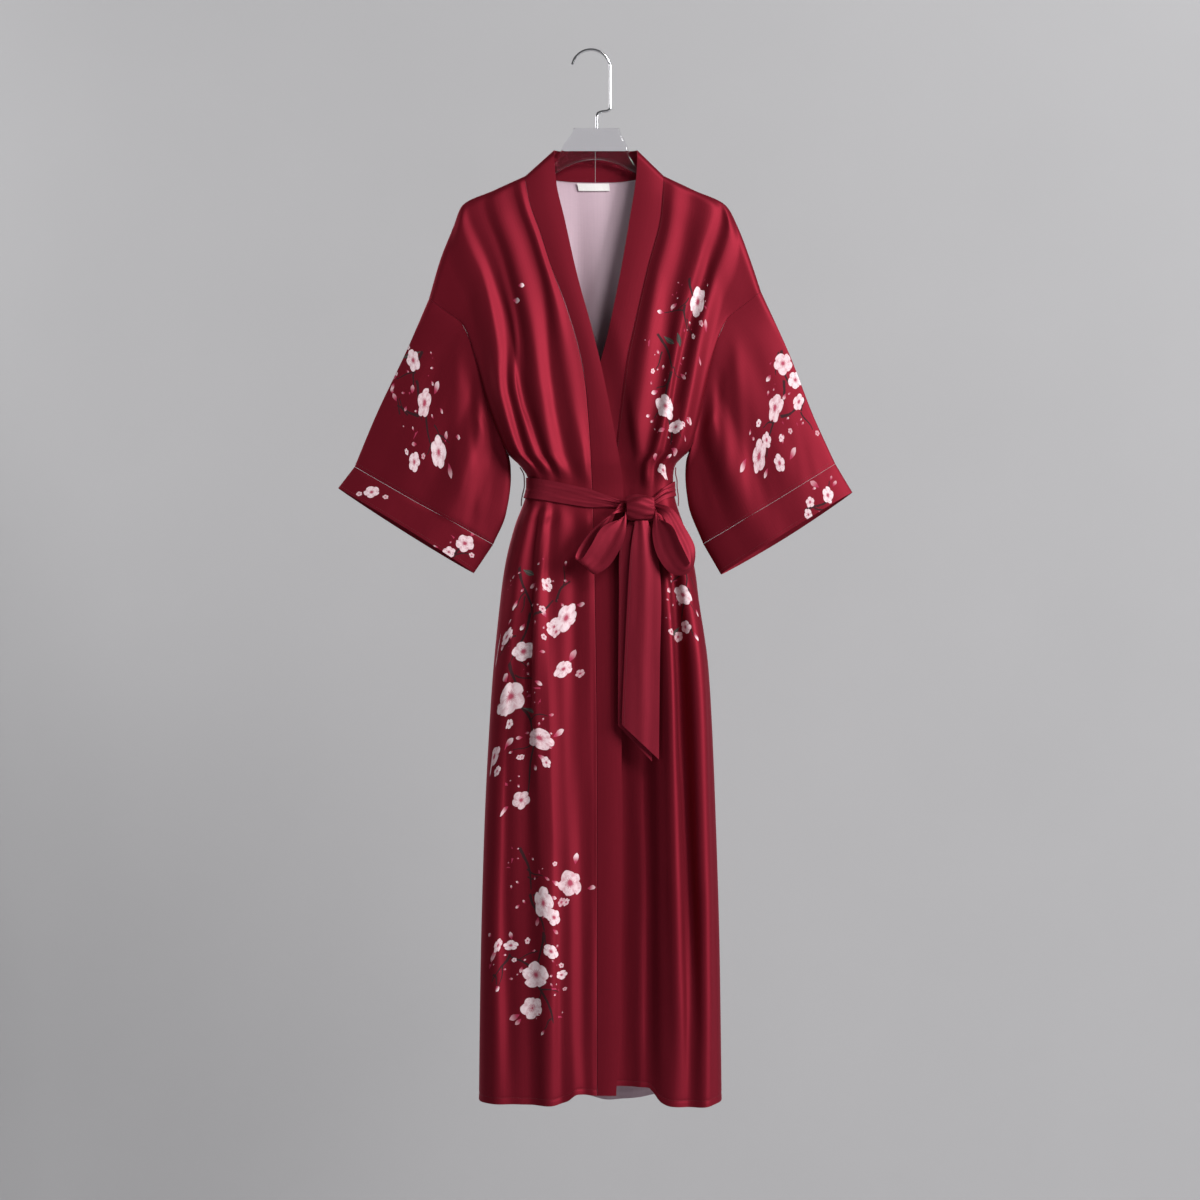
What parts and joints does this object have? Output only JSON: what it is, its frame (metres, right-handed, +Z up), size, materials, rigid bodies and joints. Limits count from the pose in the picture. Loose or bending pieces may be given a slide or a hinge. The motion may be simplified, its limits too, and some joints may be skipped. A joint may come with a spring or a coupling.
{
  "type": "satin kimono on a clear hanger",
  "caption": "Long satin kimono robe with wide sleeves, a neckband and a belt tied in a bow, hung flat on a clear hanger.",
  "frame": {"origin": "inside top of the hanger's hook, where a rail or pin holds it", "axes": "+X to the wearer's left, +Y to the back, +Z up"},
  "size_m": [0.72, 0.1209, 1.4799],
  "materials": {
    "satin": "crimson satin with printed blossom, mauve reverse",
    "belt_satin": "plain crimson satin",
    "label_cloth": "woven white label, bare",
    "clear_plastic": "clear moulded plastic",
    "chrome_wire": "polished wire"
  },
  "bodies": {
    "root": {"front_right": "satin", "front_left": "satin", "back_panel": "satin", "neckband_right": "satin", "neckband_left": "satin", "sleeve_right": "satin", "cuff_right": "satin", "sleeve_left": "satin", "cuff_left": "satin", "belt_waist": "belt_satin", "bow_loop_right": "belt_satin", "bow_loop_left": "belt_satin", "belt_tail_front": "belt_satin", "belt_tail_back": "belt_satin", "belt_knot": "belt_satin", "belt_carrier_right": "satin", "belt_carrier_left": "satin", "neck_label": "label_cloth", "hanger_body": "clear_plastic", "hanger_hook": "chrome_wire"}
  },
  "joints": []
}
